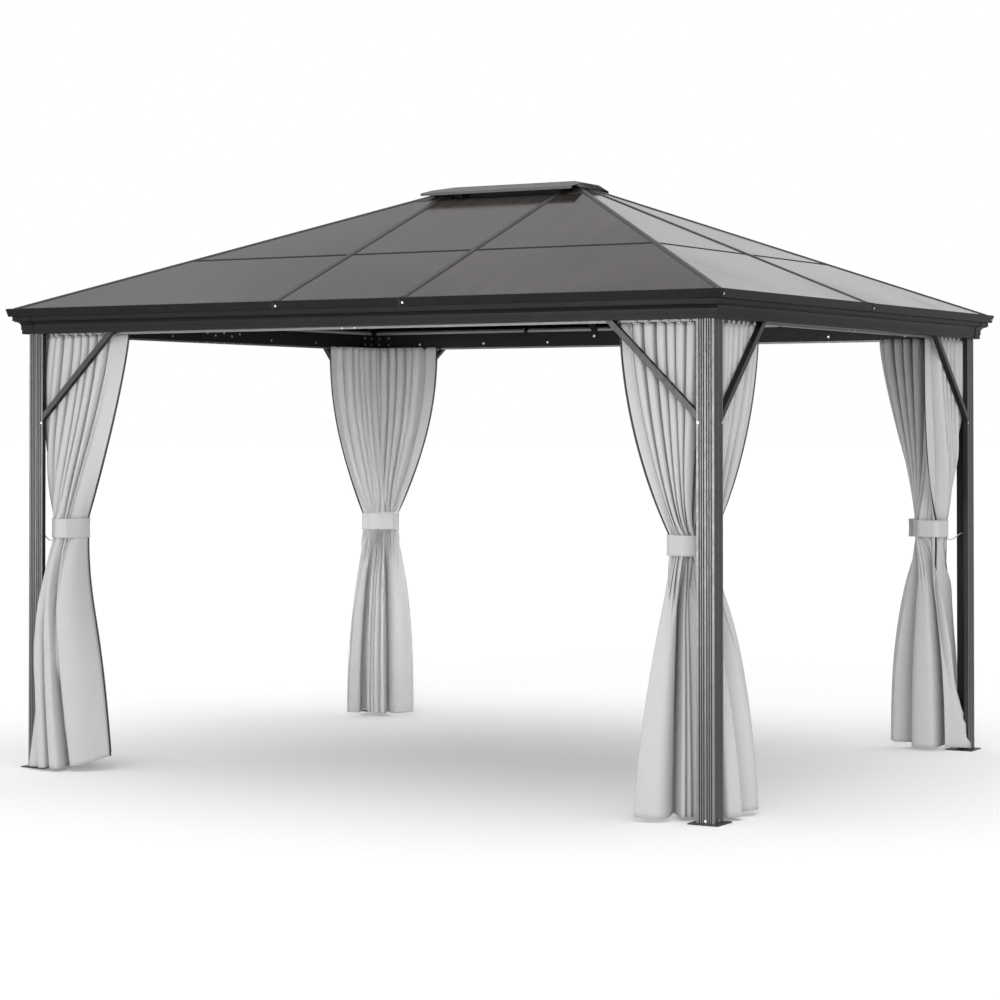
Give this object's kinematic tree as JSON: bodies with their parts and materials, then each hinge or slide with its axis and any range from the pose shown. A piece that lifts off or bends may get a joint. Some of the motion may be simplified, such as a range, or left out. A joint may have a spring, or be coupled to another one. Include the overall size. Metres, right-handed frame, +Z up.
{
  "type": "hardtop gazebo",
  "caption": "Open metal garden gazebo with a tinted hip roof, raised ridge cap, fluted posts, corner braces and tied-back corner curtains.",
  "frame": {"origin": "on the ground, at the centre of the plan", "axes": "+X along the long side, +Y from the front long side to the back, +Z up"},
  "size_m": [3.6, 2.97, 2.671],
  "materials": {
    "frame": "dark grey powder coat, satin",
    "rafter": "dark grey powder coat, a shade lighter where it faces the sky",
    "roof_panel": "brown-grey tinted polycarbonate with fine flutes down the slope",
    "curtain": "light grey woven polyester"
  },
  "bodies": {
    "root": {"post_front_right": "frame", "post_front_left": "frame", "post_back_right": "frame", "post_back_left": "frame", "foot_plate_front_right": "frame", "foot_plate_front_left": "frame", "foot_plate_back_right": "frame", "foot_plate_back_left": "frame", "beam_front": "frame", "beam_right": "frame", "beam_back": "frame", "beam_left": "frame", "corner_cover_front_right": "frame", "corner_cover_front_left": "frame", "corner_cover_back_right": "frame", "corner_cover_back_left": "frame", "eave_trim_front": "frame", "eave_trim_right": "frame", "eave_trim_back": "frame", "eave_trim_left": "frame", "ridge_beam": "frame", "curtain_rails": "frame", "hip_rafter_front_right": "rafter", "hip_rafter_front_left": "rafter", "hip_rafter_back_right": "rafter", "hip_rafter_back_left": "rafter", "rafters_front": "rafter", "rafter_right": "rafter", "rafters_back": "rafter", "rafter_left": "rafter", "ridge_cap": "rafter", "braces_front_right": "rafter", "braces_front_left": "rafter", "braces_back_right": "rafter", "braces_back_left": "rafter", "roof_panels_front": "roof_panel", "roof_panels_right": "roof_panel", "roof_panels_back": "roof_panel", "roof_panels_left": "roof_panel", "curtain_front_right": "curtain", "curtain_front_left": "curtain", "curtain_back_right": "curtain", "curtain_back_left": "curtain", "tie_bands": "curtain"}
  },
  "joints": []
}
